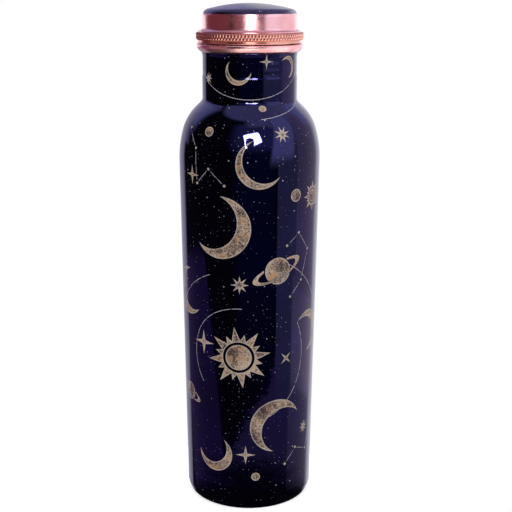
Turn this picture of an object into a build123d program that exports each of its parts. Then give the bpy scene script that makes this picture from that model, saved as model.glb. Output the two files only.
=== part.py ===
# Copper water bottle: a seamless spun body, a turned mouthpiece set in its neck, and a screw cap made of a
# drawn shell, a knurled ring, a liner disc and a silicone seal. Every piece is round about the Z axis.
# Millimetres, +Z up, origin at the centre of the circle that the bottle stands on.
import os
from math import cos, radians, sin, sqrt, tan

from build123d import *

# Body, one copper sheet from the middle of the base to the rim of the neck; radii are of the outside
body_sheet = 0.6
foot_radius = 34.8  # where the wall would meet the floor if the heel were sharp
heel_round = 5.0
foot_width = 3.4  # flat ring that it stands on, between the heel and the pressed-up base
punt_slope_width = 3.0
punt_depth = 2.0
shoulder_radius = 37.76  # where the tapered wall would meet the shoulder if both were straight
shoulder_height = 197.0
shoulder_ease = 58.0  # long round that starts the shoulder
lead_angle = 14.0  # first slope of the shoulder, from the vertical
lead_length = 16.0
knee_round = 26.0  # tighter round into the steep part
steep_angle = 46.0
crease_round = 3.0  # hollow between shoulder and neck
neck_radius = 25.0
neck_plain = 12.6
band_depth = 0.2  # the neck is rolled in a little, and beaded there
band_slope_height = 0.5
bead_count = 3  # shallow hollows rolled round the band
bead_pitch = 3.3
bead_depth = 0.15
flare_height = 2.2  # the neck opens to meet the flange of the mouthpiece
flare_width = 0.45
trim_stock = 2.0  # spun past the rim, then cut off flat

# Mouthpiece
solder_gap = 0.05  # between the neck and the skirt that is soldered into it
skirt_relief = 0.2  # the skirt stops this much above the top bead
skirt_wall = 0.9
seat_overhang = 0.1
flange_radius = 27.85
flange_height = 4.1
flange_lip = 2.35
flange_under_edge = 0.8
flange_top_edge = 0.3
bell_width = 1.35  # hollow curve from the neck's flare to the underside of the flange
bell_round = 2.8
mouth_radius = 21.4
lip_edge = 0.4
spigot_radius = 22.7  # pitch line of the thread
spigot_height = 11.9
relief_depth = 0.6  # groove that ends the thread above the flange
relief_height = 1.2

# Cap ring
parting_gap = 0.45  # between the flange and the closed cap
thread_gap = 0.1  # radial, between the two threads
lead_in = 0.5
strip_radius = 27.25
strip_height = 1.55
strip_edge = 0.4
knurl_radius = 28.25
knurl_height = 3.9
knurl_under_edge = 0.8  # from the knurled band down to the strip
knurl_top_edge = 0.25
sleeve_wall = 1.3

# Cap shell, one copper sheet; radii are of the outside
cap_sheet = 0.7
press_gap = 0.05  # between the shell and what is pressed into it
brim_width = 2.2
brim_flare = 0.8
cap_wall_height = 10.4  # from the brim to where the crown would meet the wall if the edge were sharp
crown_radius = 85.0  # radius of the sphere
crown_edge = 4.0

# Liner and seal
liner_sheet = 0.6
dish_depth = 1.6
dish_slope_width = 0.7
seal_gap = 0.1  # the seal from the lip below it and the liner above it
seal_thickness = 1.8
seal_width = 4.7
seal_clearance = 0.3  # radial, from the shell round it and the liner's dish inside it
sleeve_clearance = 0.3  # sleeve's end below the seal

# Heights and radii where the pieces meet
foot_inner_radius = foot_radius - heel_round - foot_width
knee_radius = shoulder_radius - lead_length * sin(radians(lead_angle))
knee_height = shoulder_height + lead_length * cos(radians(lead_angle))
crease_height = knee_height + (knee_radius - neck_radius) / tan(radians(steep_angle))
band_bottom = crease_height + neck_plain
band_radius = neck_radius - band_depth
beads_bottom = band_bottom + band_slope_height
beads_top = beads_bottom + bead_count * bead_pitch
neck_top = beads_top + flare_height
trim_top = neck_top + trim_stock
trim_radius = band_radius + flare_width * (trim_top - beads_top) / flare_height

skirt_radius = band_radius - body_sheet - solder_gap
skirt_inner_radius = skirt_radius - skirt_wall
skirt_bottom = beads_top + skirt_relief
seat_radius = band_radius + flare_width + seat_overhang
flange_top = neck_top + flange_height
flange_bottom = flange_top - flange_lip
relief_top = flange_top + relief_height
lip_height = flange_top + spigot_height

ring_bottom = flange_top + parting_gap
knurl_bottom = ring_bottom + strip_height
knurl_top = knurl_bottom + knurl_height
cap_bore = spigot_radius + thread_gap
sleeve_radius = cap_bore + sleeve_wall
cap_inner_radius = sleeve_radius + press_gap

seal_bottom = lip_height + seal_gap
seal_top = seal_bottom + seal_thickness
seal_outer_radius = cap_inner_radius - seal_clearance
sleeve_top = seal_bottom - sleeve_clearance
liner_bottom = seal_top + seal_gap
liner_radius = cap_inner_radius - press_gap
dish_radius = seal_outer_radius - seal_width - seal_clearance
cap_radius = cap_inner_radius + cap_sheet
brim_top = knurl_top + cap_sheet
crown_bottom = brim_top + cap_wall_height
crown_top = crown_bottom + crown_radius - sqrt(crown_radius**2 - cap_radius**2)


def fitted_rounds(points, rounds):
    """The rounds of a path's corners, each cut back where the runs beside it are too short for it."""
    corners = [Vector(*point) for point in points]
    runs = [end - start for start, end in zip(corners, corners[1:])]
    reaches = [
        wanted * tan(radians(before.get_angle(after)) / 2)
        for wanted, before, after in zip(rounds, runs, runs[1:])
    ]
    fitted = list(rounds)
    for first, run in enumerate(runs[1:-1]):
        reach = reaches[first] + reaches[first + 1]
        share = 1.0 if reach < run.length else 0.98 * run.length / reach
        fitted[first] = min(fitted[first], rounds[first] * share)
        fitted[first + 1] = min(fitted[first + 1], rounds[first + 1] * share)
    return fitted


os.makedirs("parts", exist_ok=True)

# Body. Its outline runs from the middle of the base outwards, up the wall, over the shoulder, along the
# beaded neck and up the flare. The sheet lies on its inner side.
body_points = [
    (0, punt_depth),
    (foot_inner_radius - punt_slope_width, punt_depth),
    (foot_inner_radius, 0),
    (foot_radius, 0),
    (shoulder_radius, shoulder_height),
    (knee_radius, knee_height),
    (neck_radius, crease_height),
    (neck_radius, band_bottom),
    (band_radius, beads_bottom),
]
body_rounds = [0, 0, heel_round, shoulder_ease, knee_round, crease_round, 0]

with BuildPart() as bottle_shell:
    with BuildSketch(Plane.XZ):
        with BuildLine():
            FilletPolyline(*body_points, radius=fitted_rounds(body_points, body_rounds))
            for bead in range(bead_count):
                bead_start = beads_bottom + bead * bead_pitch
                ThreePointArc(
                    (band_radius, bead_start),
                    (band_radius - bead_depth, bead_start + bead_pitch / 2),
                    (band_radius, bead_start + bead_pitch),
                )
            Line((band_radius, beads_top), (trim_radius, trim_top))
            offset(amount=body_sheet, side=Side.LEFT, closed=True)
        make_face()
    revolve(axis=Axis.Z)
    split(bisect_by=Plane.XY.offset(neck_top), keep=Keep.BOTTOM)
bottle_shell.part.label = "bottle_shell"
export_step(bottle_shell.part, "parts/bottle_shell.step")

# Mouthpiece: a skirt inside the neck, a bell-shaped flange over its rim, and a spigot for the cap.
with BuildPart() as neck_ring:
    with BuildSketch(Plane.XZ) as ring_section:
        with BuildLine():
            seat = Polyline(
                (skirt_inner_radius, skirt_bottom),
                (skirt_radius, skirt_bottom),
                (skirt_radius, neck_top),
                (seat_radius, neck_top),
            )
            bell = RadiusArc(seat @ 1, (seat_radius + bell_width, flange_bottom), bell_round)
            Polyline(
                bell @ 1,
                (flange_radius, flange_bottom),
                (flange_radius, flange_top),
                (spigot_radius - relief_depth, flange_top),
                (spigot_radius - relief_depth, relief_top),
                (spigot_radius, relief_top + relief_depth),
                (spigot_radius, lip_height),
                (mouth_radius, lip_height),
                (mouth_radius, neck_top + skirt_inner_radius - mouth_radius),
                (skirt_inner_radius, neck_top),
                seat @ 0,
            )
        make_face()
        chamfer(ring_section.vertices().group_by(Axis.X)[-1].sort_by(Axis.Y)[0], flange_under_edge)
        chamfer(ring_section.vertices().group_by(Axis.X)[-1].sort_by(Axis.Y)[-1], flange_top_edge)
        chamfer(ring_section.vertices().group_by(Axis.Y)[-1], lip_edge)
    revolve(axis=Axis.Z)
neck_ring.part.label = "neck_ring"
export_step(neck_ring.part, "parts/neck_ring.step")

# Cap ring: a plain strip, the band that takes the knurl, a seat for the shell's brim and a threaded sleeve.
with BuildPart() as cap_ring:
    with BuildSketch(Plane.XZ) as grip_section:
        with BuildLine():
            Polyline(
                (cap_bore + lead_in, ring_bottom),
                (strip_radius, ring_bottom),
                (strip_radius, knurl_bottom),
                (knurl_radius, knurl_bottom),
                (knurl_radius, knurl_top),
                (sleeve_radius, knurl_top),
                (sleeve_radius, sleeve_top),
                (cap_bore, sleeve_top),
                (cap_bore, ring_bottom + lead_in),
                close=True,
            )
        make_face()
        chamfer(grip_section.vertices().group_by(Axis.X)[-1].sort_by(Axis.Y)[0], knurl_under_edge)
        chamfer(grip_section.vertices().group_by(Axis.X)[-1].sort_by(Axis.Y)[-1], knurl_top_edge)
        chamfer(grip_section.vertices().group_by(Axis.Y)[0].sort_by(Axis.X)[-1], strip_edge)
    revolve(axis=Axis.Z)
cap_ring.part.label = "cap_ring"
export_step(cap_ring.part, "parts/cap_ring.step")

# Cap shell: crown, wall and flared brim, drawn from one sheet that lies inside its outline.
with BuildPart() as cap_shell:
    with BuildSketch(Plane.XZ):
        with BuildLine() as shell_line:
            crown = RadiusArc((0, crown_top), (cap_radius, crown_bottom), crown_radius)
            wall = Line(crown @ 1, (cap_radius, brim_top + brim_flare))
            Polyline(wall @ 1, (cap_radius + brim_flare, brim_top), (cap_radius + brim_width, brim_top))
            fillet(shell_line.vertices().sort_by_distance(wall @ 0)[0], crown_edge)
            offset(amount=cap_sheet, kind=Kind.INTERSECTION, side=Side.RIGHT, closed=True)
        make_face()
    revolve(axis=Axis.Z)
cap_shell.part.label = "cap_shell"
export_step(cap_shell.part, "parts/cap_shell.step")

# Liner: a disc with a dished middle that locates the seal.
with BuildPart() as cap_liner:
    with BuildSketch(Plane.XZ):
        with BuildLine():
            Polyline(
                (0, liner_bottom - dish_depth),
                (dish_radius - dish_slope_width, liner_bottom - dish_depth),
                (dish_radius, liner_bottom),
                (liner_radius, liner_bottom),
            )
            offset(amount=liner_sheet, kind=Kind.INTERSECTION, side=Side.LEFT, closed=True)
        make_face()
    revolve(axis=Axis.Z)
cap_liner.part.label = "cap_liner"
export_step(cap_liner.part, "parts/cap_liner.step")

# Seal: a flat silicone ring between the liner and the spigot's lip.
with BuildPart() as cap_seal:
    with BuildSketch(Plane.XZ):
        with Locations((seal_outer_radius - seal_width / 2, (seal_bottom + seal_top) / 2)):
            Rectangle(seal_width, seal_thickness)
    revolve(axis=Axis.Z)
cap_seal.part.label = "cap_seal"
export_step(cap_seal.part, "parts/cap_seal.step")
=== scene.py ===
from math import atan2, ceil, cos, degrees, hypot, pi, radians, sin, sqrt

import bpy
import numpy as np
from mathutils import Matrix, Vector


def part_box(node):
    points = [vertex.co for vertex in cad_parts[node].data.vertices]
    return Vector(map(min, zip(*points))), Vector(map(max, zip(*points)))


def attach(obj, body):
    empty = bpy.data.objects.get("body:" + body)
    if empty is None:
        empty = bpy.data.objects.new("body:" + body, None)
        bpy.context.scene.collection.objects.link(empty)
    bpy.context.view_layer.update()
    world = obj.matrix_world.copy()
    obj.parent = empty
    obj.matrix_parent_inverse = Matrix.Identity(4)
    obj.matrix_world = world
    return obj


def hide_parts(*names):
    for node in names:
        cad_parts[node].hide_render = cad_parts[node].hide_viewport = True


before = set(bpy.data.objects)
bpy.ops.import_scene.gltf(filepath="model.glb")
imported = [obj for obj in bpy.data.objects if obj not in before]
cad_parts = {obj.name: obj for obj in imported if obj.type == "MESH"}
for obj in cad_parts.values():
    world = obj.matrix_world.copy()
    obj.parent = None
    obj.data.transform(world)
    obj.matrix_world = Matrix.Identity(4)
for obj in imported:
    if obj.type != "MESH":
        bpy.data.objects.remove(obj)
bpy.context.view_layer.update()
scene = bpy.context.scene
mm = 0.001
print("frame loaded:", ", ".join(sorted(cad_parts)))


def nodeSpan(node):  # lowest height, highest height and widest radius of a CAD node, in millimetres
    low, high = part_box(node)
    return low.z / mm, high.z / mm, high.x / mm


footHeight, rimHeight, _ = nodeSpan("bottle_shell")
skirtHeight, lipHeight, flangeRadius = nodeSpan("neck_ring")
stripHeight, sleeveTop, knurlRadius = nodeSpan("cap_ring")
brimHeight, crownHeight, brimRadius = nodeSpan("cap_shell")
dishHeight, linerTop, linerRadius = nodeSpan("cap_liner")
sealHeight, sealTop, sealRadius = nodeSpan("cap_seal")


# Outlines are (radius, height) in millimetres, up on the outside and down on the inside.

def spreadAlong(start, end, spacing):
    # Even steps from start to end, with one more close to each end so that the shading stays flat between.
    length = hypot(*(end - start))
    count = max(1, ceil(length / spacing))
    guard = min(0.12, 0.2 * length / count)
    steps = np.unique(np.concatenate([np.linspace(0, length, count + 1), [guard, length - guard]]))
    return start + (end - start) * (steps / length)[:, None]


def roundedOutline(corners, spacing, closed=False, arcStep=7):
    # Each corner (radius, height, round) is cut back along both runs by round * tan(turn / 2), and an arc of that
    # round joins the two cuts, in steps of at most arcStep degrees.
    points = np.array([corner[:2] for corner in corners], float)
    rounds = np.array([corner[2] for corner in corners], float)
    before = points - np.roll(points, 1, axis=0)
    after = np.roll(points, -1, axis=0) - points
    before = before / np.linalg.norm(before, axis=1)[:, None]
    after = after / np.linalg.norm(after, axis=1)[:, None]
    turn = np.arctan2(before[:, 0] * after[:, 1] - before[:, 1] * after[:, 0], (before * after).sum(axis=1))
    if not closed:
        rounds[[0, -1]] = 0.0
    cut = rounds * np.tan(np.abs(turn) / 2)
    starts = points - before * cut[:, None]
    ends = points + after * cut[:, None]
    pieces = []
    for k in range(len(points)):
        if cut[k] > 0:
            side = np.array([-before[k, 1], before[k, 0]]) * np.sign(turn[k])
            centre = starts[k] + side * rounds[k]
            count = max(2, ceil(abs(turn[k]) / radians(arcStep)), ceil(abs(turn[k]) * rounds[k] / spacing))
            sweep = turn[k] * np.linspace(0, 1, count + 1)
            arm = starts[k] - centre
            pieces.append(centre + np.stack([
                arm[0] * np.cos(sweep) - arm[1] * np.sin(sweep),
                arm[0] * np.sin(sweep) + arm[1] * np.cos(sweep)], axis=1))
        else:
            pieces.append(points[k:k + 1])
        if closed or k < len(points) - 1:
            pieces.append(spreadAlong(ends[k], starts[(k + 1) % len(points)], spacing)[1:-1])
    return np.vstack(pieces)


def domeOutline(wall, top, sphere, edge, count):
    # A wall rounded over into a dome: the edge's circle touches the wall and the sphere from inside, so its centre is
    # sphere - edge from the sphere's centre. Edge: centre + edge (cos a, sin a). Dome: R (sin t, cos t), to the axis.
    centre = (wall - edge, top - sphere + sqrt((sphere - edge) ** 2 - (wall - edge) ** 2))
    start = atan2(centre[0], centre[1] - top + sphere)
    turn = np.linspace(0, pi / 2 - start, 12)
    over = np.linspace(start, 0, count)[1:]
    return np.vstack([np.stack([centre[0] + edge * np.cos(turn), centre[1] + edge * np.sin(turn)], axis=1),
                      np.stack([sphere * np.sin(over), top - sphere + sphere * np.cos(over)], axis=1)])


def insideOf(outline, sheet):
    # The outline moved inwards by the sheet's thickness, square to its own direction, and run backwards.
    along = np.gradient(outline, axis=0)
    along /= np.linalg.norm(along, axis=1)[:, None]
    moved = outline + sheet * np.stack([-along[:, 1], along[:, 0]], axis=1)
    moved[:, 0] = np.maximum(moved[:, 0], 0.0)
    return moved[::-1]


def smoothRise(value, low, high):  # 0 below low, 1 above high, 3 t^2 - 2 t^3 between
    t = np.clip((value - low) / (high - low), 0.0, 1.0)
    return t * t * (3 - 2 * t)


def latheSkin(name, outline, columns, closed=False, shapeRadius=None, finishRows=None, weights=None, rise=None):
    # Outline point k turned to the angle a = 2 pi j / columns: x = r cos a, y = r sin a, z = height.
    # shapeRadius(angle, radius, height) may change the radius. Points on the axis become one pole. finishRows is the
    # material of each row, weights its share of the map, and rise the height of each point in a second map.
    rows = len(outline)
    angle = np.arange(columns)[None, :] * 2 * pi / columns
    radius = outline[:, :1] + 0 * angle
    height = outline[:, 1:] + 0 * angle
    if shapeRadius is not None:
        radius = shapeRadius(angle, radius, height)
    points = np.stack([radius * np.cos(angle), radius * np.sin(angle), height], axis=-1) * mm
    index = np.arange(rows * columns).reshape(rows, columns)
    poles = [] if closed else [k for k in (0, rows - 1) if outline[k, 0] < 1e-6]
    for k in poles:
        index[k, :] = index[k, 0]
    lower = index if closed else index[:-1]
    upper = np.roll(index, -1, axis=0) if closed else index[1:]
    quads = np.stack([lower, np.roll(lower, -1, axis=1), np.roll(upper, -1, axis=1), upper], axis=-1)

    # Map: once round the piece across, and the outline's own length up, in shares set by weights.
    step = np.linalg.norm(np.roll(outline, -1, axis=0) - outline, axis=1)[:len(quads)]
    if weights is not None:
        step = step * weights[:len(quads)]
    up = np.concatenate([[0.0], np.cumsum(step)])
    margin = 0.004
    up = margin + (1 - 2 * margin) * up / up[-1]
    across = margin + (1 - 2 * margin) * np.arange(columns + 1) / columns
    cornerU = np.stack([across[:-1], across[1:], across[1:], across[:-1]], axis=-1) + 0 * up[:-1, None, None]
    maps = {"OFBake": up} if rise is None else {"OFBake": up, "wrap": rise}
    rowOf = np.repeat(np.arange(len(quads)), columns)

    # Quads that touch a pole lose their doubled corner.
    keep = np.ones((len(quads), columns, 4), bool)
    if 0 in poles:
        keep[0, :, 1] = False
    if rows - 1 in poles:
        keep[-1, :, 3] = False
    kept = keep.reshape(-1)
    corners = quads.reshape(-1)[kept]
    counts = keep.reshape(-1, 4).sum(axis=1)
    used, corners = np.unique(corners, return_inverse=True)

    mesh = bpy.data.meshes.new(name)
    mesh.vertices.add(len(used))
    mesh.vertices.foreach_set("co", points.reshape(-1, 3)[used].astype(np.float32).ravel())
    mesh.loops.add(len(corners))
    mesh.loops.foreach_set("vertex_index", corners.astype(np.int32))
    mesh.polygons.add(len(counts))
    mesh.polygons.foreach_set("loop_start", np.concatenate([[0], np.cumsum(counts)[:-1]]).astype(np.int32))
    mesh.polygons.foreach_set("use_smooth", np.ones(len(counts), bool))
    if finishRows is not None:
        mesh.polygons.foreach_set("material_index", finishRows[rowOf].astype(np.int32))
    for mapName, level in maps.items():
        cornerV = np.stack([level[:-1], level[:-1], level[1:], level[1:]], axis=-1)[:, None, :] + 0 * cornerU
        layer = mesh.uv_layers.new(name=mapName)
        layer.data.foreach_set("uv", np.stack([cornerU, cornerV], axis=-1).reshape(-1, 2)[kept].ravel())
    mesh.update(calc_edges=True)
    mesh.validate()
    piece = bpy.data.objects.new(name, mesh)
    scene.collection.objects.link(piece)
    print("made", name, "with", len(counts), "faces")
    return piece


def feed(tree, socket, value):  # a link from a socket, or else a plain value
    if isinstance(value, bpy.types.NodeSocket):
        tree.links.new(value, socket)
    else:
        socket.default_value = value


def feedAll(tree, node, values):  # by the sockets' names
    for name, value in values.items():
        feed(tree, node.inputs[name], value)


def addNode(tree, kind, *values, **settings):  # the values go to its first sockets
    node = tree.nodes.new("ShaderNode" + kind)
    for name, value in settings.items():
        setattr(node, name, value)
    for socket, value in zip(node.inputs, values):
        feed(tree, socket, value)
    return node


def reckon(tree, operation, *values, clamp=False):
    return addNode(tree, "Math", *values, operation=operation, use_clamp=clamp).outputs[0]


def times(tree, first, second):
    return reckon(tree, "MULTIPLY", first, second)


def less(tree, first, second):
    return reckon(tree, "SUBTRACT", first, second)


def least(tree, first, second):
    return reckon(tree, "MINIMUM", first, second)


def most(tree, first, second):
    return reckon(tree, "MAXIMUM", first, second)


def reckonVector(tree, operation, *values):  # a length, distance or dot product is a number
    node = addNode(tree, "VectorMath", *values, operation=operation)
    return node.outputs["Value" if operation in ("LENGTH", "DISTANCE", "DOT_PRODUCT") else "Vector"]


def blendColours(tree, share, first, second):  # first where the share is 0, second where it is 1
    node = addNode(tree, "Mix", share, data_type="RGBA")
    for socket, colour in zip(node.inputs[6:8], (first, second)):
        feed(tree, socket, colour if isinstance(colour, bpy.types.NodeSocket) else (*colour, 1))
    return node.outputs[2]


def fade(tree, value, low, high, first=0.0, second=1.0):  # smooth change from first to second
    return addNode(tree, "MapRange", value, low, high, first, second, interpolation_type="SMOOTHSTEP").outputs[0]


def noiseOn(tree, place, scale, detail=2.0, roughness=0.5):
    node = addNode(tree, "TexNoise", place)
    feedAll(tree, node, {"Scale": scale, "Detail": detail, "Roughness": roughness})
    return node.outputs["Fac"]


def freshFinish(name):  # an empty material with a Principled shader, and the piece's place in millimetres
    material = bpy.data.materials.new(name)
    material.use_nodes = True
    tree = material.node_tree
    tree.nodes.clear()
    shader = addNode(tree, "BsdfPrincipled")
    addNode(tree, "OutputMaterial", shader.outputs[0])
    where = addNode(tree, "TexCoord").outputs["Object"]
    return material, tree, shader, reckonVector(tree, "DIVIDE", where, (mm, mm, mm))


def splitPlace(tree, place):
    return addNode(tree, "SeparateXYZ", place).outputs


def joinPlace(tree, x, y, z=0.0):
    return addNode(tree, "CombineXYZ", x, y, z).outputs[0]


def lengthOf(tree, place):
    return reckonVector(tree, "LENGTH", place)


def raiseBumps(tree, shader, height, distance):
    node = addNode(tree, "Bump")
    feedAll(tree, node, {"Height": height, "Distance": distance})
    tree.links.new(node.outputs[0], shader.inputs["Normal"])
    return node.outputs[0]


def coatOver(tree, shader, roughness, height):
    # A clear glossy coat whose surface is wavy, over metal or print that waves with it.
    bumps = raiseBumps(tree, shader, height, 0.02 * mm)
    feedAll(tree, shader, {"Specular IOR Level": 0.2, "Coat Weight": 1.0, "Coat Roughness": roughness,
                           "Coat IOR": 1.5, "Coat Normal": bumps})


copperLook = {  # colour, tarnish, roughness, depth of the turning marks in millimetres, strength of the tarnish clouds
    "polishedCopper": ((0.93, 0.53, 0.54), (0.80, 0.38, 0.36), 0.20, 0.004, 0.5),
    "flangeCopper": ((0.93, 0.53, 0.54), (0.80, 0.38, 0.36), 0.25, 0.004, 0.5),
    "knurledCopper": ((0.92, 0.50, 0.40), (0.80, 0.38, 0.36), 0.20, 0.004, 0.5),
    "insideCopper": ((0.88, 0.46, 0.36), (0.55, 0.22, 0.14), 0.30, 0.01, 0.8),
}


def copperFinish(name):
    # Turned copper: clouds of thin tarnish over the metal, and fine lines that run round the axis, which are
    # noise that changes quickly with height and radius and slowly with the angle.
    colour, tarnish, roughness, lineDepth, patchShare = copperLook[name]
    material, tree, shader, place = freshFinish(name)
    x, y, z = splitPlace(tree, place)
    radius = lengthOf(tree, joinPlace(tree, x, y))
    lines = noiseOn(tree, joinPlace(tree, times(tree, x, 0.05), times(tree, y, 0.05),
                                    reckon(tree, "ADD", z, radius)), 5.0, 4.0, 0.6)
    clouds = noiseOn(tree, place, 0.12, 4.0, 0.6)
    patches = times(tree, fade(tree, clouds, 0.45, 0.75), patchShare)
    shade = reckon(tree, "MULTIPLY_ADD", fade(tree, lines, 0.3, 0.7), 0.12, patches)
    uneven = fade(tree, lines, 0.2, 0.8, roughness - 0.03, roughness + 0.05)
    feedAll(tree, shader, {"Base Color": blendColours(tree, shade, colour, tarnish), "Metallic": 1.0,
                           "Roughness": reckon(tree, "MULTIPLY_ADD", patches, 0.25, uneven)})
    raiseBumps(tree, shader, lines, lineDepth * mm)
    return material, tree, shader, place


polishedCopper, flangeCopper, insideCopper = [
    copperFinish(name)[0] for name in ("polishedCopper", "flangeCopper", "insideCopper")]


cameraLook = {
    "place": (0.0, -0.555, 0.277),
    "tiltDown": 14.3,
    "lens": 73.1,
    "shift": 0.013,
    "roll": 0.12,
}

camera = bpy.data.objects.new("camera", bpy.data.cameras.new("camera"))
scene.collection.objects.link(camera)
camera.location = cameraLook["place"]
camera.rotation_euler = (radians(90 - cameraLook["tiltDown"]), 0, 0)
camera.rotation_euler.rotate_axis("Z", radians(cameraLook["roll"]))
camera.data.lens = cameraLook["lens"]
camera.data.shift_x = cameraLook["shift"]
camera.data.clip_end = 50
scene.camera = camera
scene.view_settings.view_transform = "Standard"


def seenAsBackground(tree):  # 1 for what the eye, a mirror or clear glass sees, 0 for light that falls on pieces
    light = addNode(tree, "LightPath").outputs
    seen = most(tree, light["Is Camera Ray"], light["Is Glossy Ray"])
    return most(tree, seen, light["Is Transmission Ray"])


studioLook = {
    "fill": 0.62,  # what the room sends to matt surfaces
    "darkCorner": (0.012, 0.010, 0.014),  # what a mirror sees between the panels
    # Each panel: azimuth from and to (0 in front, 90 on the right), the soft edge of each, elevation from and to, the
    # soft edge of each, degrees that it leans sideways for each degree up, and its colour.
    "panels": {
        "behindLow": ((125, 235), (20, 20), (0.2, 50), (0.8, 16), 0, (0.28, 0.28, 0.48)),
        "behindHigh": ((115, 245), (20, 20), (14, 68), (16, 20), 0, (0.37, 0.38, 0.66)),
        "rightDoor": ((47, 88), (2, 8), (-24, 8), (6, 8), 0, (0.18, 0.19, 0.27)),
        "rightDoorHigh": ((45, 88), (8, 10), (-3, 62), (20, 10), 0.35, (0.56, 0.60, 0.78)),
        "rightWall": ((84, 150), (5, 20), (-18, 60), (4, 20), 0, (0.36, 0.30, 0.38)),
        "rightWallLow": ((78, 150), (8, 20), (-23, -16.5), (3, 4), 0, (0.52, 0.44, 0.54)),
        "rightFoot": ((74, 150), (8, 20), (-27.5, -21), (2, 4), 0, (0.24, 0.20, 0.27)),
        "rightRim": ((134, 182), (24, 10), (-34, 30), (8, 8), 0, (0.66, 0.65, 0.74)),
        "leftRim": ((-182, -134), (10, 8), (-34, 34), (8, 14), 0, (0.40, 0.37, 0.48)),
        "leftLow": ((-140, -64), (20, 6), (-27.5, -15), (2, 2), -3, (0.080, 0.048, 0.14)),
        "rightLow": ((42, 92), (4, 6), (-25, -19.5), (3, 1.5), 9, (0.15, 0.10, 0.20)),
        "rightFloor": ((6, 140), (6, 16), (-27.3, -22), (2, 3), 20, (0.13, 0.095, 0.19)),
        "middleFront": ((-30, 46), (30, 6), (9, 52), (16, 10), 0, (0.12, 0.13, 0.26)),
        "middleLow": ((-24, 44), (30, 6), (-22, 12), (12, 8), 0, (0.016, 0.018, 0.060)),
        "ceilingFront": ((-120, 60), (60, 20), (61, 90), (8, 4), 0, (0.42, 0.43, 0.58)),
        "ceilingFrontLow": ((-8, 48), (30, 10), (45, 64), (12, 6), 0, (0.44, 0.46, 0.60)),
        "ceilingRight": ((40, 140), (14, 20), (38, 90), (12, 4), 0, (0.40, 0.38, 0.50)),
        "ceilingBack": ((90, 215), (30, 30), (56, 90), (14, 4), 0, (0.38, 0.38, 0.52)),
    },
}


def buildStudio():
    # Each panel is a patch of the sky in azimuth and elevation, its colour inside and smoothly nothing past its soft
    # edges; where two meet, the brighter counts. Mirrors see the panels, matt surfaces see one even level, and the
    # eye and clear glass see plain white.
    world = bpy.data.worlds.new("studio")
    scene.world = world
    world.use_nodes = True
    tree = world.node_tree
    tree.nodes.clear()
    x, y, z = splitPlace(tree, addNode(tree, "TexCoord").outputs["Generated"])
    azimuth = reckon(tree, "DEGREES", reckon(tree, "ARCTAN2", x, times(tree, y, -1.0)))
    elevation = reckon(tree, "DEGREES", reckon(tree, "ARCSINE", z))
    total = studioLook["darkCorner"]
    for (left, right), (leftSoft, rightSoft), (low, high), (lowSoft, highSoft), lean, colour in \
            studioLook["panels"].values():
        middle, half = (left + right) / 2, (right - left) / 2
        aside = less(tree, azimuth, middle)
        if lean:
            aside = reckon(tree, "MULTIPLY_ADD", less(tree, elevation, (low + high) / 2), -lean, aside)
        aside = reckon(tree, "WRAP", aside, 180.0, -180.0)
        masks = [fade(tree, aside, -half - leftSoft / 2, -half + leftSoft / 2),
                 fade(tree, aside, half - rightSoft / 2, half + rightSoft / 2, 1.0, 0.0),
                 fade(tree, elevation, low - lowSoft / 2, low + lowSoft / 2),
                 fade(tree, elevation, high - highSoft / 2, high + highSoft / 2, 1.0, 0.0)]
        share = times(tree, times(tree, masks[0], masks[1]), times(tree, masks[2], masks[3]))
        total = reckonVector(tree, "MAXIMUM", total, reckonVector(tree, "MULTIPLY", share, colour))
    light = addNode(tree, "LightPath").outputs
    white = most(tree, light["Is Camera Ray"], light["Is Transmission Ray"])
    matt = times(tree, less(tree, 1.0, light["Is Glossy Ray"]), studioLook["fill"])
    level = reckonVector(tree, "ADD", reckonVector(tree, "MULTIPLY", total, light["Is Glossy Ray"]), matt)
    shader = addNode(tree, "Background", reckonVector(tree, "MAXIMUM", level, white))
    addNode(tree, "OutputWorld", shader.outputs[0])


lampLook = {  # soft lamps that light matt surfaces: place, height that they face, size, power
    "keyLamp": ((-0.7, -1.1, 0.9), 0.14, (0.8, 0.8), 9.0),
    "sideLamp": ((1.2, -0.5, 0.7), 0.14, (0.8, 1.0), 7.0),
    "topLamp": ((0.1, 0.3, 1.5), 0.14, (1.2, 1.2), 8.0),
}


def hangLamp(name, place, aimHeight, size, power):
    # The lamp is turned down or up, and round the axis, to face the point at the aim height on the axis.
    lamp = bpy.data.objects.new(name, bpy.data.lights.new(name, "AREA"))
    scene.collection.objects.link(lamp)
    lamp.data.shape = "RECTANGLE"
    lamp.data.size, lamp.data.size_y = size
    lamp.data.energy = power
    lamp.location = place
    aim = np.array([0, 0, aimHeight]) - np.array(place)
    lamp.rotation_euler = (atan2(hypot(aim[0], aim[1]), -aim[2]), 0, atan2(aim[1], aim[0]) - pi / 2)
    lamp.visible_camera = False
    lamp.visible_glossy = False  # mirrors see the panels instead
    return lamp


windowLook = {
    "place": (0.022, -0.279, 0.312),
    "size": (0.132, 0.094),
    "turn": 15,
    "level": 27.0,
    "notchPlace": (-0.026, -0.026),  # from the window's middle
    "notchRadius": 0.031,
    "notchBlur": 0.003,
}

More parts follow.
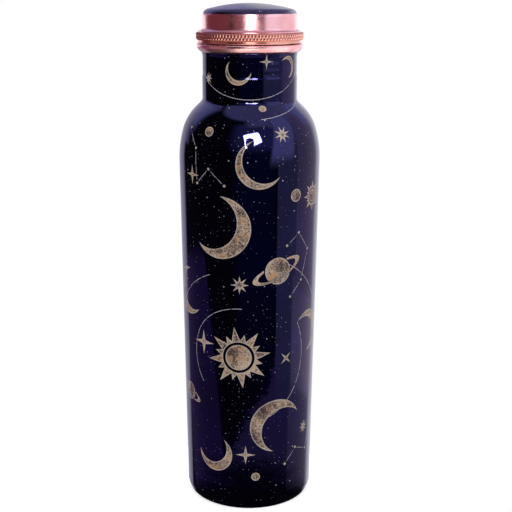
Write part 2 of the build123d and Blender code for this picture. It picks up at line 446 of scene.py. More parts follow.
glowLook = {  # panes that only bare copper mirrors: place, size, height that they face, turn, level, colour, pieces
    "nearWindow": ((0.013, -0.275, 0.325), (0.110, 0.250), 0.325, 0, 4.0, (1.0, 0.97, 0.95), "cover"),
    "dimWindow": ((0.010, -0.275, 0.262), (0.080, 0.110), 0.262, 0, 2.6, (1.0, 0.94, 0.90), "ring mouthpiece"),
    "skylight": ((0.04, -0.33, 0.75), (0.45, 0.40), 0.26, 0, 1.9, (1.0, 0.95, 0.92), "ring"),
    "lipSky": ((-0.05, -0.25, 0.75), (0.75, 0.55), 0.26, 0, 0.90, (1.0, 0.82, 0.78), "mouthpiece"),
    "redFront": ((0.0, -0.42, 0.22), (0.66, 0.56), 0.22, 0, 0.14, (1.0, 0.18, 0.28), "cover ring"),
    "redLeft": ((-0.42, 0.03, 0.22), (0.90, 0.56), 0.22, 0, 0.125, (1.0, 0.18, 0.30), "cover ring mouthpiece"),
    "sideWall": ((0.42, 0.03, 0.15), (1.30, 0.90), 0.15, 0, 0.66, (1.0, 0.97, 1.0), "cover ring mouthpiece"),
    "farWall": ((-0.073, 0.414, 0.245), (0.705, 0.11), 0.245, 0, 0.85, (1.0, 0.98, 1.0), "cover ring mouthpiece"),
    "ceiling": ((0.0, -0.15, 0.95), (1.5, 1.2), 0.26, 0, 0.22, (1.0, 0.72, 0.78), "cover ring mouthpiece"),
    "under": ((0.10, -0.12, -0.15), (1.10, 0.56), 0.25, 0, 1.50, (1.0, 0.88, 0.84), "ring"),
    "underMouth": ((0.10, -0.12, -0.15), (1.10, 0.56), 0.25, 0, 0.50, (1.0, 0.88, 0.84), "mouthpiece"),
    "table": ((0.22, -0.26, 0.0), (1.10, 0.50), 0.25, 0, 0.60, (1.0, 0.90, 0.84), "ring mouthpiece"),
    "tableLeft": ((-0.60, -0.20, 0.0), (0.60, 0.50), 0.25, 0, 0.20, (1.0, 0.70, 0.66), "ring mouthpiece"),
    "paper": ((-0.030, -0.25, -0.05), (0.28, 0.12), 0.25, 24, 1.7, (1.0, 0.96, 0.90), "mouthpiece"),
}


def hangPane(name, place, size, aimHeight, turn, level, colour=(1.0, 1.0, 1.0)):
    # A bright pane that only mirrors see; level is how bright it looks, power / (pi area).
    pane = hangLamp(name, place, aimHeight, size, level * pi * size[0] * size[1])
    pane.rotation_euler.rotate_axis("Z", radians(turn))
    pane.data.color = colour
    pane.visible_glossy = True
    pane.visible_diffuse = pane.visible_transmission = False
    return pane


def hangWindow():
    # A pane that is dark within the notch's radius of the notch's place.
    look = windowLook
    window = hangPane("window", look["place"], look["size"], look["place"][2], look["turn"], look["level"])
    window.data.use_nodes = True
    tree = window.data.node_tree
    tree.nodes.clear()
    across = addNode(tree, "NewGeometry").outputs["Parametric"]
    place = reckonVector(tree, "MULTIPLY", reckonVector(tree, "SUBTRACT", across, (0.5, 0.5, 0.0)),
                         (window.data.size, window.data.size_y, 0.0))
    fromNotch = reckonVector(tree, "DISTANCE", place, (*look["notchPlace"], 0.0))
    radius = look["notchRadius"]
    shader = addNode(tree, "Emission")
    feed(tree, shader.inputs["Strength"], fade(tree, fromNotch, radius, radius + look["notchBlur"]))
    addNode(tree, "OutputLight", shader.outputs[0])
    return window


def shineOnlyOn(lamp, *pieces):  # the lamp lights no other piece
    lit = bpy.data.collections.new(lamp.name + "Pieces")
    for piece in pieces:
        lit.objects.link(piece)
    lamp.light_linking.receiver_collection = lit


floorLook = {"reach": 62.0, "drop": 0.02, "colour": 0.86, "roughness": 0.9, "lift": 0.5}


def layFloor():
    # A flat disc just under the foot, which glows a little so that only its shadow tells it from the room.
    look = floorLook
    floor = latheSkin("floor", np.array([[look["reach"], -look["drop"]], [0.0, -look["drop"]]]), 64)
    material, tree, shader, _ = freshFinish("paleFloor")
    feedAll(tree, shader, {
        "Base Color": (look["colour"],) * 3 + (1,), "Roughness": look["roughness"], "Specular IOR Level": 0.0,
        "Emission Color": (1, 1, 1, 1), "Emission Strength": times(tree, seenAsBackground(tree), look["lift"]),
    })
    floor.data.materials.append(material)
    floor.visible_glossy = False  # the foot shows none of it


buildStudio()
for name, values in lampLook.items():
    hangLamp(name, *values)
window = hangWindow()
glows = {name: hangPane(name, *values[:-1]) for name, values in glowLook.items()}
layFloor()
print("studio, floor and camera set")


bodyLook = {
    "columns": 256,
    "spacing": 2.4,
    "sheet": 0.6,
    "baseInside": (23.4, 2.0, 1.6),  # radius, height above the floor, round
    "standInside": (26.4, 0.0, 1.6),
    "heel": [(33.2, 0.0, 1.8), (34.85, 4.2, 5.5)],
    "wallTop": (37.76, 49.309, 58.0),  # radius, depth below the rim, round
    "knee": (33.889, 33.784, 26.0),
    "crease": (25.0, 25.2, 3.0),
    "bandSlope": [(25.0, 12.6, 1.1), (24.8, 12.1, 1.1)],
    "beadTop": (24.8, 2.2, 4.0),
    "rimRadius": 25.25,
    "neckTall": 20.0,  # how far the neck reaches below the rim
    "beads": 3,
    "beadPitch": 3.3,
    "beadDepth": 0.032,
    "beadRows": 49,
    "bareBase": (29.9, 10.0),  # radius and height within which the outside is not lacquered
    "printFrom": 34.0,  # radius of the foot where the print's heights start
    "handWaves": 0.04,  # how far the spun wall wavers
    "wavesStart": (8, 20),  # heights between which the waver grows, and goes again
    "wavesEnd": (205, 215),
    "baseColour": (0.020, 0.0145, 0.125),
    "baseCloud": (0.012, 0.009, 0.085),
    "baseRoughness": 0.06,
    "speckColour": (0.36, 0.34, 0.40),
    "specks": [(2.6, 0.25, 0.50), (9.5, 0.50, 0.36)],  # cell, size, share of the cells, of small and of larger ones
    "lineColour": (0.38, 0.35, 0.38),
    "foilDark": (0.045, 0.028, 0.026),
    "foilMiddle": (0.27, 0.19, 0.145),
    "foilPale": (0.48, 0.38, 0.30),
    "foilWarm": (0.40, 0.20, 0.085),
    "foilRim": (0.44, 0.38, 0.32),
    "foilNoise": ((0.10, 0.65), (1.1, 1.35)),  # scale and share, of the coarse and of the fine noise
    "foilSteps": ((0.92, 1.01), (1.02, 1.15)),  # where dark turns to middle, and middle to pale
    "edgeBlur": 0.12,  # width in millimetres over which a printed edge fades
}


def bodySkin():
    # Foot, tapered wall, shoulder and beaded neck, one sheet turned round the axis. The beads are shallow hollows:
    # radius - depth sin^2(pi (height - low) / pitch).
    look = bodyLook

    def belowRim(corner):
        return corner[0], rimHeight - corner[1], corner[2]

    corners = [(0, footHeight + look["baseInside"][1], 0)]
    corners += [(r, footHeight + h, e) for r, h, e in [look["baseInside"], look["standInside"], *look["heel"]]]
    corners += [belowRim(corner) for corner in
                [look["wallTop"], look["knee"], look["crease"], *look["bandSlope"], look["beadTop"]]]
    corners.append((look["rimRadius"], rimHeight, 0))
    outside = roundedOutline(corners, look["spacing"], arcStep=5)
    beadHigh = rimHeight - look["beadTop"][1]
    beadLow = beadHigh - look["beads"] * look["beadPitch"]
    below, above = outside[outside[:, 1] < beadLow], outside[outside[:, 1] > beadHigh]
    heights = np.linspace(beadLow, beadHigh, look["beadRows"])
    neck = outside[outside[:, 1] > rimHeight - look["neckTall"]]
    band = np.stack([np.interp(heights, neck[:, 1], neck[:, 0]), heights], axis=1)
    band[:, 0] -= look["beadDepth"] * np.sin(pi * (heights - beadLow) / look["beadPitch"]) ** 2
    outside = np.vstack([below, band, above])
    inside = insideOf(outside, look["sheet"])
    inside = np.vstack([inside[:-1:2], inside[-1:]])
    inside[0, 1] = rimHeight
    inside[-1, 0] = 0.0
    outline = np.vstack([outside, inside])
    onOutside = np.arange(len(outline)) < len(outside)
    lacquered = onOutside & ((outline >= look["bareBase"]).any(axis=1))
    step = np.linalg.norm(np.diff(outline, axis=0, prepend=outline[:1]), axis=1)
    rise = np.cumsum(step)
    rise -= rise[np.argmax(outside[:, 0] > look["printFrom"])]

    def waver(angle, radius, height):
        wave = np.sin(3 * angle + height / 9.0) * np.sin(2 * angle - height / 14.0 + 1.0)
        share = smoothRise(height, *look["wavesStart"]) * (1 - smoothRise(height, *look["wavesEnd"]))
        return radius - look["handWaves"] * share * (0.5 + 0.5 * wave)

    return latheSkin("bottle_body", outline, look["columns"], shapeRadius=waver,
                     finishRows=np.where(lacquered, 0, 1), weights=np.where(onOutside, 1.0, 0.25), rise=rise)


# Print: distances in millimetres on the unrolled wall, below 0 inside a printed shape.

def unrolledWall(tree, place):
    # X = angle * radius and Y = length up the wall; the design fills half the way round and comes twice.
    x, y, _ = splitPlace(tree, place)
    angle = reckon(tree, "ARCTAN2", x, times(tree, y, -1.0))
    angle = reckon(tree, "WRAP", angle, pi / 2, -pi / 2)
    radius = lengthOf(tree, joinPlace(tree, x, y))
    wrap = addNode(tree, "UVMap", uv_map="wrap")
    return joinPlace(tree, times(tree, angle, radius), splitPlace(tree, wrap.outputs[0])[1], radius)


def motifPlace(tree, wall, angle, rise, tilt):
    # Place from a motif's centre, turned by its tilt t: x = cos t (X - angle R) + sin t (Y - rise), and y alike.
    a, t = radians(angle), radians(tilt)
    across = reckonVector(tree, "DOT_PRODUCT", wall, (cos(t), sin(t), -a * cos(t)))
    along = reckonVector(tree, "DOT_PRODUCT", wall, (-sin(t), cos(t), a * sin(t)))
    return joinPlace(tree, less(tree, across, rise * sin(t)), less(tree, along, rise * cos(t)))


def disc(tree, place, radius):
    return less(tree, lengthOf(tree, place), radius)


def crescent(tree, place, radius, bite, shift):  # a disc less a second disc that is shifted sideways
    bitten = less(tree, bite, reckonVector(tree, "DISTANCE", place, (shift, 0, 0)))
    return most(tree, disc(tree, place, radius), bitten)


def hoop(tree, distance, width):  # a line that follows the edge of a shape
    return less(tree, reckon(tree, "ABSOLUTE", distance), width / 2)


def star(tree, place, points, outer, inner):
    # The angle is folded into half a point, so that one straight edge from tip to notch serves for all of them:
    # distance = r cos(fold - n) - outer cos n, with n the direction square to that edge.
    x, y, _ = splitPlace(tree, place)
    fold = reckon(tree, "PINGPONG", reckon(tree, "ARCTAN2", y, x), pi / points)
    notch = (inner * cos(pi / points), inner * sin(pi / points))
    n = atan2(outer - notch[0], notch[1])
    reach = times(tree, lengthOf(tree, place), reckon(tree, "COSINE", less(tree, fold, n)))
    return less(tree, reach, outer * cos(n))


def bar(tree, place, halfLength, width):  # a straight line with round ends
    past = reckonVector(tree, "SUBTRACT", reckonVector(tree, "ABSOLUTE", place), (halfLength, 0, 0))
    past = reckonVector(tree, "MAXIMUM", past, (0, 0, 0))
    return less(tree, lengthOf(tree, past), width / 2)


def arc(tree, place, radius, halfAngle, width):  # part of a circle, centred on its own x axis
    x, y, _ = splitPlace(tree, place)
    beyond = less(tree, reckon(tree, "ABSOLUTE", reckon(tree, "ARCTAN2", y, x)), radians(halfAngle))
    return most(tree, hoop(tree, disc(tree, place, radius), width), times(tree, beyond, radius))


def sun(tree, place, size):
    # A disc, a gap, and two sets of straight rays, the long ones between the short ones.
    middle = disc(tree, place, 0.46 * size)
    gap = less(tree, 0.55 * size, lengthOf(tree, place))
    turned = addNode(tree, "Mapping", place)
    feed(tree, turned.inputs["Rotation"], (0, 0, pi / 8))
    rays = least(tree, star(tree, place, 8, 1.12 * size, 0.50 * size),
                 star(tree, turned.outputs[0], 8, 0.86 * size, 0.46 * size))
    return least(tree, middle, most(tree, rays, gap))


def planet(tree, place, size):
    # A disc with a flat ring: the ring's near half crosses the disc inside a dark gap, the far half goes behind.
    _, y, _ = splitPlace(tree, place)
    ball = disc(tree, place, size)
    flat = reckonVector(tree, "MULTIPLY", place, (1.0, 3.4, 1.0))
    ring = hoop(tree, disc(tree, flat, 1.85 * size), 0.42 * size)
    near = most(tree, ring, y)
    far = most(tree, ring, less(tree, 0.6, ball))
    cutBall = most(tree, ball, less(tree, 0.9, near))
    return least(tree, cutBall, least(tree, near, far))


def nearest(tree, distances):
    result = distances[0]
    for distance in distances[1:]:
        result = least(tree, result, distance)
    return result


printLook = {  # angle round the body in degrees, height up the wall in millimetres, tilt in degrees, sizes in mm
    "wallRadius": 37.0,
    "suns": [(-9, 86, 8, 15.5), (62, 170, 0, 7.5)],
    "planets": [(24, 133, 24, 7.2), (-64, 60, -20, 5.0)],
    "crescents": [  # radius, radius of the bite, shift of the bite
        (-24, 156, 152, 16.5, 14.6, 6.2),
        (25, 46, -38, 15.0, 13.0, 5.6),
        (8, 189, 38, 12.5, 11.6, 3.4),
        (-62, 118, 20, 13.0, 11.4, 5.0),
        (-32, 29, 118, 10.5, 9.2, 4.0),
        (60, 96, 205, 11.5, 10.2, 4.2),
        (-14, 238, 64, 6.8, 6.2, 2.0),
        (52, 240, -150, 5.6, 5.0, 2.0),
    ],
    "discs": [(40, 172, 0, 3.4), (-36, 205, 0, 2.6), (6, 17, 0, 2.4), (14, 219, 0, 2.0)],
    "stars": [  # tilt, points, outer radius, inner radius
        (-42, 92, 0, 4, 7.0, 1.6), (33, 84, 45, 4, 4.4, 1.0), (-8, 126, 0, 8, 5.0, 1.9),
        (28, 204, 20, 8, 4.6, 1.7), (-52, 182, 0, 4, 5.2, 1.2), (-3, 30, 0, 4, 5.6, 1.3),
        (58, 40, 0, 8, 4.2, 1.5), (20, 243, 0, 4, 4.0, 0.9), (-58, 234, 45, 8, 3.4, 1.2),
    ],
    "orbits": [  # radius, half of its angle, of circles round one centre
        (-9, 86, 152, 27.0, 66), (-9, 86, -22, 38.0, 48), (-9, 86, 150, 47.0, 40), (-9, 86, 35, 57.0, 26),
        (0, 268, -90, 44.0, 50), (0, 268, -62, 56.0, 22),
    ],
    "constellations": [
        [(-60, 206), (-48, 196), (-46, 178), (-34, 186), (-20, 178)],
        [(36, 118), (48, 126), (56, 142), (44, 152), (32, 146)],
        [(34, 22), (46, 30), (62, 26), (72, 42)],
    ],
    "lineWidth": 0.34,
    "chainWidth": 0.306,
    "markRadius": 0.75,
    "markGap": 1.8,  # from a mark's centre to the line
}


def chainParts(tree, wall, knots):
    # Straight lines from knot to knot, each stopped short of the small round star that marks a knot.
    look = printLook
    marks = [disc(tree, motifPlace(tree, wall, angle, rise, 0), look["markRadius"]) for angle, rise in knots]
    lines = []
    for (angleA, riseA), (angleB, riseB) in zip(knots, knots[1:]):
        across = radians(angleB - angleA) * look["wallRadius"]
        middle = motifPlace(tree, wall, (angleA + angleB) / 2, (riseA + riseB) / 2,
                            degrees(atan2(riseB - riseA, across)))
        lines.append(bar(tree, middle, hypot(across, riseB - riseA) / 2 - look["markGap"], look["chainWidth"]))
    return lines, marks


def specksOn(tree, place, cell, size, share):
    # One speck in some of the cells of a flat pattern, random in place and size, more of them where a slow noise is
    # high: seen where the nearest point is close.
    node = addNode(tree, "TexVoronoi", place, voronoi_dimensions="2D")
    feed(tree, node.inputs["Scale"], 1.0 / cell)
    level, chance, weight = splitPlace(tree, node.outputs["Color"])
    reach = fade(tree, weight, 0.0, 1.0, 0.35 * size / cell, size / cell)
    near = less(tree, 1.0, fade(tree, node.outputs["Distance"], times(tree, reach, 0.6), times(tree, reach, 1.2)))
    near = times(tree, near, fade(tree, level, 0.0, 1.0, 0.2, 1.0))
    crowd = fade(tree, noiseOn(tree, place, 0.045, 2.0), 0.38, 0.62, 0.25 * share, 1.5 * share)
    return times(tree, near, reckon(tree, "LESS_THAN", chance, crowd))


def speckled(tree, place, kinds):  # the specks of every kind together
    small, large = [specksOn(tree, place, *kind) for kind in kinds]
    return most(tree, small, large)


def coverOf(tree, distance):  # how much of the spot is printed, 0 to 1
    return reckon(tree, "MULTIPLY_ADD", distance, -1.0 / bodyLook["edgeBlur"], 0.5, clamp=True)


def foilColour(tree, place, distance):
    # Mottled leaf: a coarse and a fine noise pick between dark, middle and pale, with warm patches and a pale edge.
    look = bodyLook
    (coarseScale, coarseShare), (fineScale, fineShare) = look["foilNoise"]
    toMiddle, toPale = look["foilSteps"]
    coarse = noiseOn(tree, place, coarseScale, 3.0, 0.6)
    fine = noiseOn(tree, place, fineScale, 6.0, 0.85)
    grain = reckon(tree, "MULTIPLY_ADD", coarse, coarseShare, times(tree, fine, fineShare))
    colour = blendColours(tree, fade(tree, grain, *toMiddle), look["foilDark"], look["foilMiddle"])
    colour = blendColours(tree, fade(tree, grain, *toPale), colour, look["foilPale"])
    warmth = fade(tree, noiseOn(tree, place, 0.2, 3.0, 0.6), 0.50, 0.66, 0.0, 0.75)
    warmth = times(tree, warmth, fade(tree, grain, toMiddle[0], toMiddle[1] + 0.02))
    colour = blendColours(tree, warmth, colour, look["foilWarm"])
    rimShare = fade(tree, reckon(tree, "ABSOLUTE", reckon(tree, "ADD", distance, 0.30)), 0.1, 0.40, 0.7, 0.0)
    return blendColours(tree, rimShare, colour, look["foilRim"])


def lacquerPrint():
    # Dark see-through lacquer over copper is a tinted mirror, so the bare lacquer is metal and the print is not.
    material, tree, shader, place = freshFinish("lacquerPrint")
    wall = unrolledWall(tree, place)
    shapes = {"suns": sun, "planets": planet, "crescents": crescent, "discs": disc, "stars": star}
    foil = [shape(tree, motifPlace(tree, wall, angle, rise, tilt), *sizes)
            for kind, shape in shapes.items() for angle, rise, tilt, *sizes in printLook[kind]]
    lines = [arc(tree, motifPlace(tree, wall, angle, rise, tilt), *sizes, printLook["lineWidth"])
             for angle, rise, tilt, *sizes in printLook["orbits"]]
    for knots in printLook["constellations"]:
        chain, marks = chainParts(tree, wall, knots)
        lines += chain
        foil += marks
    foilDistance, lineDistance = nearest(tree, foil), nearest(tree, lines)

    clouds = noiseOn(tree, place, 0.03, 3.0)
    colour = blendColours(tree, fade(tree, clouds, 0.35, 0.65), bodyLook["baseColour"], bodyLook["baseCloud"])
    awayFromFoil = reckon(tree, "GREATER_THAN", foilDistance, 0.8)
    specks = times(tree, speckled(tree, wall, bodyLook["specks"]), awayFromFoil)
    colour = blendColours(tree, specks, colour, bodyLook["speckColour"])
    worn = fade(tree, noiseOn(tree, place, 0.5, 3.0, 0.7), 0.36, 0.5, 0.35, 1.0)
    lineCover = times(tree, coverOf(tree, lineDistance), worn)
    colour = blendColours(tree, lineCover, colour, bodyLook["lineColour"])
    foilCover = coverOf(tree, foilDistance)
    colour = blendColours(tree, foilCover, colour, foilColour(tree, place, foilDistance))
    printed = most(tree, most(tree, specks, lineCover), foilCover)
    feedAll(tree, shader, {"Base Color": colour, "Metallic": less(tree, 1.0, printed),
                           "Roughness": fade(tree, printed, 0.0, 1.0, bodyLook["baseRoughness"], 0.5)})
    coatOver(tree, shader, 0.02, noiseOn(tree, place, 0.22, 2.0))
    return material


body = bodySkin()
body.data.materials.append(lacquerPrint())
body.data.materials.append(insideCopper)
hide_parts("bottle_shell")
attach(body, "bottle")


# Thread: the ridges of the neck and of the cap run between each other.

threadLook = {
    "pitch": 4.0,
    "ridgeHeight": 0.7,
    "halfCrest": 0.35,
    "halfBase": 1.25,
    "start": 5.7,  # above the rim, where the neck's ridge passes the angle 0
    "runOut": 1.2,  # height over which a ridge dies away at each end
}


def threadRidge(angle, height, offset):
    # 1 on the crest of a helix, height = rim + start + offset + pitch * angle / 2 pi, and smoothly 0 beside it.
    pitch = threadLook["pitch"]
    turns = (height - rimHeight - threadLook["start"] - offset) / pitch - angle / (2 * pi)
    aside = np.abs(turns - np.round(turns)) * pitch
    return 1 - smoothRise(aside, threadLook["halfCrest"], threadLook["halfBase"])


def threadDepth(angle, height, offset, low, high):
    # Half of the ridge stands out of the pitch line and half of the hollow goes in, and both die away at low and high.
    runOut = threadLook["runOut"]
    share = smoothRise(height, low, low + runOut) * (1 - smoothRise(height, high - runOut, high))
    return share * threadLook["ridgeHeight"] * (threadRidge(angle, height, offset) - 0.5)


mouthLook = {
    "columns": 360,
    "spacing": 0.4,
    "mouthRadius": 21.4,
    "skirtRadius": 24.15,
    "skirtWall": 0.9,
    "spigotRadius": 22.7,
    "grooveDepth": 0.6,
    "flangeTall": 4.1,  # from the rim to the top of the flange
    "bellFoot": 25.35,
    "bellTurn": (1.35, 0.8, 0.6),  # out from the foot, up from the rim, round
    "bellTall": 2.6,
    "bellRound": 2.6,
    "topRound": 0.45,
    "grooveTall": 1.2,
    "grooveSlope": 0.6,
    "lipRound": 0.4,
}


def mouthpieceSkin():
    # Skirt, bell, flange, groove and threaded spigot, closed round on itself.
    look = mouthLook
    mouth, skirt, spigot = look["mouthRadius"], look["skirtRadius"], look["spigotRadius"]
    skirtInside, groove = skirt - look["skirtWall"], spigot - look["grooveDepth"]
    foot, (turnOut, turnUp, turnRound) = look["bellFoot"], look["bellTurn"]
    flangeTop = rimHeight + look["flangeTall"]
    grooveTop = flangeTop + look["grooveTall"]
    outline = roundedOutline([
        (foot, rimHeight, 0.05), (foot + turnOut, rimHeight + turnUp, turnRound),
        (flangeRadius, rimHeight + look["bellTall"], look["bellRound"]), (flangeRadius, flangeTop, look["topRound"]),
        (groove, flangeTop, 0.2), (groove, grooveTop, 0.3), (spigot, grooveTop + look["grooveSlope"], 0.3),
        (spigot, lipHeight, look["lipRound"]), (mouth, lipHeight, look["lipRound"]),
        (mouth, rimHeight + skirtInside - mouth, 0.6), (skirtInside, rimHeight, 0.6),
        (skirtInside, skirtHeight, 0.2), (skirt, skirtHeight, 0.2), (skirt, rimHeight, 0.05),
    ], look["spacing"], closed=True)

    def cutThread(angle, radius, height):
        outer = (radius > spigot - 0.05) & (height > grooveTop)
        return radius + outer * threadDepth(angle, height, 0.0, grooveTop + 0.2, lipHeight - 1.0)

    return latheSkin("mouthpiece", outline, look["columns"], closed=True, shapeRadius=cutThread)


mouthpiece = mouthpieceSkin()
mouthpiece.data.materials.append(flangeCopper)
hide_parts("neck_ring")
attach(mouthpiece, "bottle")


knurlLook = {
    "diamonds": 100,  # round the ring
    "diamondHeight": 3.12,
    "depth": 0.50,
    "stepsEach": 10,
    "firstRow": -0.4,  # height of a row of bumps, from the bottom of the band
    "stripRadius": 27.25,
    "stripTall": 1.55,
    # How much darker the strip below the band is made.
    "stripDarkening": 0.3,
    "underRound": 0.9,
    "topRound": 0.6,
    "bore": 22.8,
    "sleeveWall": 1.3,
    "seatWidth": 1.0,  # outside the sleeve, where the cover's wall stands
    "leadIn": 0.5,
    # Tarnish and painted shade in the knurl's grooves, darker the deeper.
    "grooveTarnishAndShade": (0.42, 0.14, 0.80),  # dark from this deep to this shallow in the grooves, and how dark
    "grooveTarnishAndShadeColour": (0.30, 0.10, 0.06),
}


def knurlDepth(angle, height, bandLow):
    # Two families of grooves wind opposite ways, where u and v = n a / 2 pi +- (height - first) / diamondHeight are
    # half-way between whole numbers. What stands between them are round bumps: 1 - |cos pi u| |cos pi v| deep.
    turn = knurlLook["diamonds"] * angle / (2 * pi)
    climb = (height - bandLow - knurlLook["firstRow"]) / knurlLook["diamondHeight"]
    return knurlLook["depth"] * (1 - np.abs(np.cos(pi * (turn + climb)) * np.cos(pi * (turn - climb))))


def knurledRing():
    # Strip, knurled band, seat, sleeve and threaded bore, closed round on itself, with even rows on the band.
    look = knurlLook
    bore, strip = look["bore"], look["stripRadius"]
    sleeve = bore + look["sleeveWall"]
    seat, leadIn = sleeve + look["seatWidth"], look["leadIn"]
    bandLow = stripHeight + look["stripTall"]
    step = look["diamondHeight"] / look["stepsEach"]
    low, high = bandLow + look["underRound"], brimHeight - look["topRound"]
    phase = bandLow + look["firstRow"]
    rows = phase + step * np.arange(ceil((low - phase) / step), int((high - phase) / step) + 1)
    band = np.stack([np.full(len(rows), knurlRadius), rows], axis=1)
    over = roundedOutline([(*band[-1], 0), (knurlRadius, brimHeight, look["topRound"]), (seat, brimHeight, 0)],
                          0.5, arcStep=10)
    rest = roundedOutline([
        (seat, brimHeight, 0), (sleeve, brimHeight, 0.1), (sleeve, sleeveTop, 0.15), (bore, sleeveTop, 0.15),
        (bore, stripHeight + leadIn, 0.1), (bore + leadIn, stripHeight, 0.1), (strip, stripHeight, 0.4),
        (strip, bandLow, 0.04), (knurlRadius - look["underRound"], bandLow, 0),
    ], 1.3, arcStep=40)
    under = roundedOutline([(strip, bandLow, 0), (knurlRadius, bandLow, look["underRound"]), (*band[0], 0)],
                           0.5, arcStep=10)
    under = under[under[:, 0] > knurlRadius - look["underRound"] + 0.01]
    outline = np.vstack([band, over[1:-1], rest, under[:-1]])

    def cutRing(angle, radius, height):
        onBand = (radius > strip + 0.05) & (height > bandLow - 0.01)
        inwards = smoothRise(radius, strip + 0.05, strip + 0.5) * onBand
        radius = radius - inwards * knurlDepth(angle, height, bandLow)
        threadLow = stripHeight + leadIn + 0.1
        threaded = (radius < bore + 0.02) & (height > threadLow)
        return radius - threaded * threadDepth(angle, height, threadLook["pitch"] / 2, threadLow, sleeveTop - 0.4)

    return latheSkin("knurled_ring", outline, look["diamonds"] * look["stepsEach"], closed=True,
                     shapeRadius=cutRing)


def knurlFinish():
    # As turned copper, with tarnish and painted shade low in the grooves, the nearer to the axis the darker, and the
    # strip made a little darker.
    material, tree, shader, place = copperFinish("knurledCopper")
    x, y, z = splitPlace(tree, place)
    radius = lengthOf(tree, joinPlace(tree, x, y))
    bandLow = stripHeight + knurlLook["stripTall"]
    deepest, shallowest, darkness = knurlLook["grooveTarnishAndShade"]
    deep = fade(tree, radius, knurlRadius - deepest, knurlRadius - shallowest, darkness, 0.0)
    band = times(tree, reckon(tree, "GREATER_THAN", z, bandLow),
                 reckon(tree, "GREATER_THAN", radius, knurlRadius - knurlLook["underRound"]))
    strip = times(tree, reckon(tree, "LESS_THAN", z, bandLow),
                  reckon(tree, "GREATER_THAN", radius, knurlLook["stripRadius"] - 0.6))
    # How much of the dark colour: tarnish and painted shade deep in the grooves, and the strip's darkening.
    darkenedShare = reckon(tree, "MULTIPLY_ADD", deep, band, times(tree, strip, knurlLook["stripDarkening"]))
    clean = shader.inputs["Base Color"].links[0].from_socket
    feed(tree, shader.inputs["Base Color"], blendColours(tree, darkenedShare, clean, knurlLook["grooveTarnishAndShadeColour"]))
    return material


ring = knurledRing()
ring.data.materials.append(knurlFinish())
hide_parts("cap_ring")
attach(ring, "cap")


coverLook = {
    "columns": 256,
    "spacing": 0.7,
    "sheet": 0.7,
    "wallRadius": 24.85,
    "crownSphere": 85.0,
    "crownEdge": 4.0,
    "flareRound": 1.5,
    "mouthFlare": 1.0,  # how far the inside opens at the brim, out and up
    "enamelDrop": 5.35,  # how far below the crown's top the enamel ends
    "enamelColour": (0.012, 0.008, 0.062),
    "enamelCloud": (0.020, 0.012, 0.072),
    "specks": [(2.6, 0.25, 0.50), (8.0, 0.50, 0.36)],
}


def coverSkin():
    # Cup of one sheet: inner crown, inner wall, flared brim, outer wall and domed top.
    look = coverLook
    sheet, wall, sphere = look["sheet"], look["wallRadius"], look["crownSphere"]
    brimTop = brimHeight + sheet
    dome = domeOutline(wall, crownHeight, sphere, look["crownEdge"], 48)
    innerDome = domeOutline(wall - sheet, crownHeight - sheet, sphere - sheet, look["crownEdge"] - sheet, 24)[::-1]
    inner, flare = wall - sheet, look["mouthFlare"]
    rest = roundedOutline([
        (*innerDome[-1], 0), (inner, brimHeight + flare, 0.8), (inner + flare, brimHeight, 0.4),
        (brimRadius, brimHeight, 0.2), (brimRadius, brimTop, 0.3), (wall, brimTop, look["flareRound"]), (*dome[0], 0),
    ], look["spacing"])
    outline = np.vstack([innerDome[:-1], rest[:-1], dome])
    onDome = np.arange(len(outline)) >= len(outline) - len(dome)
    enamelled = onDome & (outline[:, 1] > crownHeight - look["enamelDrop"])
    return latheSkin("cap_cover", outline, look["columns"], finishRows=np.where(enamelled, 1, 0))


def domeEnamel():
    # The same lacquer as on the body, cloudy and less smooth, with specks and no print.
    material, tree, shader, place = freshFinish("domeEnamel")
    clouds = noiseOn(tree, place, 0.08, 4.0, 0.6)
    colour = blendColours(tree, fade(tree, clouds, 0.4, 0.68), coverLook["enamelColour"], coverLook["enamelCloud"])
    specks = speckled(tree, place, coverLook["specks"])
    colour = blendColours(tree, specks, colour, bodyLook["speckColour"])
    feedAll(tree, shader, {"Base Color": colour, "Metallic": less(tree, 1.0, specks),
                           "Roughness": fade(tree, clouds, 0.3, 0.7, 0.28, 0.36)})
    coatOver(tree, shader, 0.03, noiseOn(tree, place, 0.3, 2.0))
    return material


cover = coverSkin()
cover.data.materials.append(polishedCopper)
cover.data.materials.append(domeEnamel())
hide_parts("cap_shell")
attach(cover, "cap")


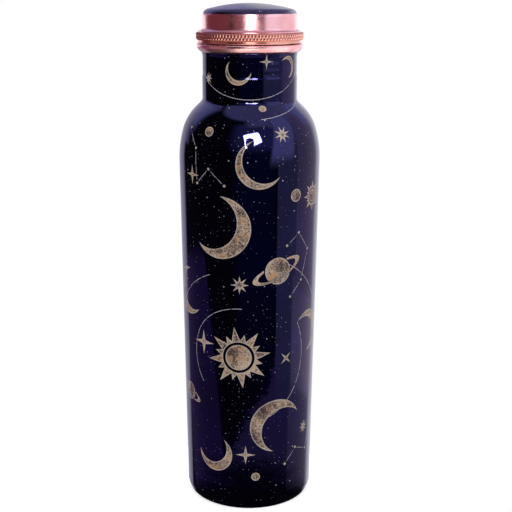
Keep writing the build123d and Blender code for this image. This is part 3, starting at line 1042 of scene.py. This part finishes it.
linerLook = {"columns": 192, "spacing": 0.8, "sheet": 0.6, "dishRadius": 18.85, "slopeWidth": 0.7, "crease": 0.25}
sealLook = {"columns": 192, "spacing": 0.5, "width": 4.7, "edge": 0.35, "colour": (0.74, 0.74, 0.71),
            "dust": (0.60, 0.59, 0.55)}


def linerSkin():
    # Disc of one sheet, pressed down in the middle into a flat dish with a short slope round it.
    look = linerLook
    dish, sheet, crease = look["dishRadius"], look["sheet"], look["crease"]
    low, high = dishHeight, linerTop - sheet
    foot = dish - look["slopeWidth"]
    outline = roundedOutline([
        (0, low, 0), (foot, low, 0.7), (dish, high, 0.3), (linerRadius, high, 0.15), (linerRadius, linerTop, 0.15),
        (dish - crease, linerTop, 0.7), (foot - crease, low + sheet, 0.3), (0, low + sheet, 0),
    ], look["spacing"])
    return latheSkin("cap_liner_disc", outline, look["columns"])


def siliconeFinish():
    # Pale rubber with clouds of dust, that lets a little light in.
    material, tree, shader, place = freshFinish("silicone")
    clouds = noiseOn(tree, place, 0.25, 4.0, 0.6)
    colour = blendColours(tree, fade(tree, clouds, 0.4, 0.7), sealLook["colour"], sealLook["dust"])
    feedAll(tree, shader, {"Base Color": colour, "Roughness": fade(tree, clouds, 0.3, 0.7, 0.42, 0.58),
                           "Subsurface Weight": 0.15, "Subsurface Scale": 0.002})
    raiseBumps(tree, shader, noiseOn(tree, place, 6.0, 3.0), 0.01 * mm)
    return material


liner = linerSkin()
liner.data.materials.append(insideCopper)
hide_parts("cap_liner")
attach(liner, "cap")

sealBore, sealEdge = sealRadius - sealLook["width"], sealLook["edge"]
seal = latheSkin("seal_ring", roundedOutline([
    (sealBore, sealHeight, sealEdge), (sealRadius, sealHeight, sealEdge),
    (sealRadius, sealTop, sealEdge), (sealBore, sealTop, sealEdge),
], sealLook["spacing"], closed=True), sealLook["columns"], closed=True)
seal.data.materials.append(siliconeFinish())
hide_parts("cap_seal")
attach(seal, "seal")


shineOnlyOn(window, body)
copperPieces = {"cover": cover, "ring": ring, "mouthpiece": mouthpiece}
for name, values in glowLook.items():
    shineOnlyOn(glows[name], *[copperPieces[piece] for piece in values[-1].split()])
print("all pieces made")
